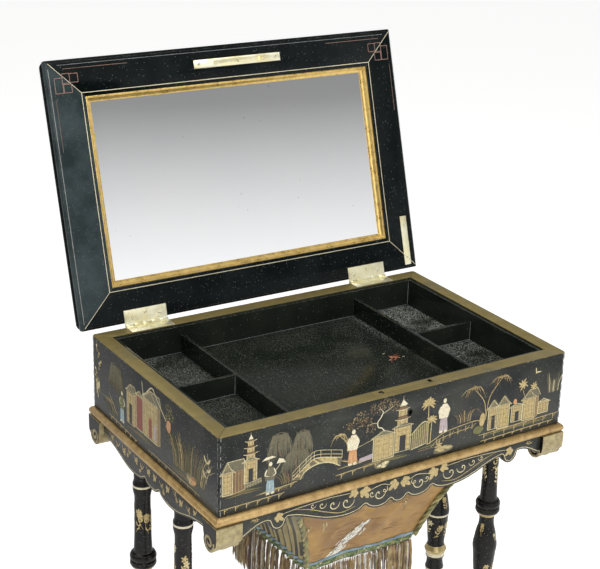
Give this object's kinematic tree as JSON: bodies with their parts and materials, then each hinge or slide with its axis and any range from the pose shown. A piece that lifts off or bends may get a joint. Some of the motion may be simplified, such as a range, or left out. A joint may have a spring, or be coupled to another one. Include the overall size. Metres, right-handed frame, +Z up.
{
  "type": "sewing work table",
  "caption": "Black lacquer work table with gilt scenes: mirror-lined hinged lid, lift-out divided tray, hanging silk bag, turned legs on a joined base.",
  "frame": {"origin": "on the floor, in the middle of the footprint of the table with its lid open", "axes": "+X to the right along the front, +Y towards the back, +Z up"},
  "size_m": [0.522, 0.4586, 1.0294],
  "materials": {
    "black_lacquer": "glossy black lacquer with worn edges",
    "gilding": "rubbed gilding over lacquer",
    "brass": "aged polished brass",
    "mirror_glass": "silvered mirror glass",
    "bare_wood": "plain stained wood",
    "bag_silk": "faded brown silk, creased",
    "bag_fringe": "bullion fringe of bronze and gold silk"
  },
  "bodies": {
    "table": {"front_board": "black_lacquer", "right_board": "black_lacquer", "back_board": "black_lacquer", "left_board": "black_lacquer", "bottom_board": "black_lacquer", "base_moulding_front": "gilding", "base_moulding_right": "gilding", "base_moulding_back": "gilding", "base_moulding_left": "gilding", "tray_ledge_left": "black_lacquer", "tray_ledge_right": "black_lacquer", "apron_front": "black_lacquer", "apron_right": "black_lacquer", "apron_back": "black_lacquer", "apron_left": "black_lacquer", "corner_scroll_front_left": "gilding", "corner_scroll_front_right": "gilding", "corner_scroll_back_right": "gilding", "corner_scroll_back_left": "gilding", "leg_front_left": "black_lacquer", "leg_back_left": "black_lacquer", "leg_cleat_left": "black_lacquer", "foot_rail_left": "black_lacquer", "leg_front_right": "black_lacquer", "leg_back_right": "black_lacquer", "leg_cleat_right": "black_lacquer", "foot_rail_right": "black_lacquer", "stretcher": "black_lacquer", "bag_frame": "bare_wood", "work_bag": "bag_silk", "bag_fringe": "bag_fringe", "lock_case": "brass", "keyhole_liner": "brass", "hinge_leaf_case_left": "brass", "hinge_pin_left": "brass", "hinge_leaf_case_right": "brass", "hinge_pin_right": "brass"},
    "lid": {"lid_rail_front": "black_lacquer", "lid_rail_right": "black_lacquer", "lid_rail_back": "black_lacquer", "lid_rail_left": "black_lacquer", "lid_top_board": "black_lacquer", "mirror_slip": "gilding", "mirror_glass": "mirror_glass", "mirror_backing": "bare_wood", "link_plate": "brass", "stay_plate": "brass", "hinge_leaf_lid_left": "brass", "hinge_leaf_lid_right": "brass"},
    "tray": {"tray_wall_front": "black_lacquer", "tray_wall_right": "black_lacquer", "tray_wall_back": "black_lacquer", "tray_wall_left": "black_lacquer", "tray_floor": "black_lacquer", "tray_divider_left": "black_lacquer", "tray_partition_left": "black_lacquer", "tray_divider_right": "black_lacquer", "tray_partition_right": "black_lacquer"},
    "lock_bolt": {"lock_bolt": "brass"}
  },
  "joints": [
    {"name": "lid_hinge", "type": "hinge", "parent": "table", "child": "lid", "pos_m": [0, 0.11072, 0.7005], "axis": [1, 0, 0], "range_deg": [0, 106.6]},
    {"name": "tray_lift", "type": "slide", "parent": "table", "child": "tray", "axis": [0, 0, 1], "range_m": [0, 0.09]},
    {"name": "bolt_throw", "type": "slide", "parent": "table", "child": "lock_bolt", "axis": [1, 0, 0], "range_m": [0, 0.005]}
  ]
}
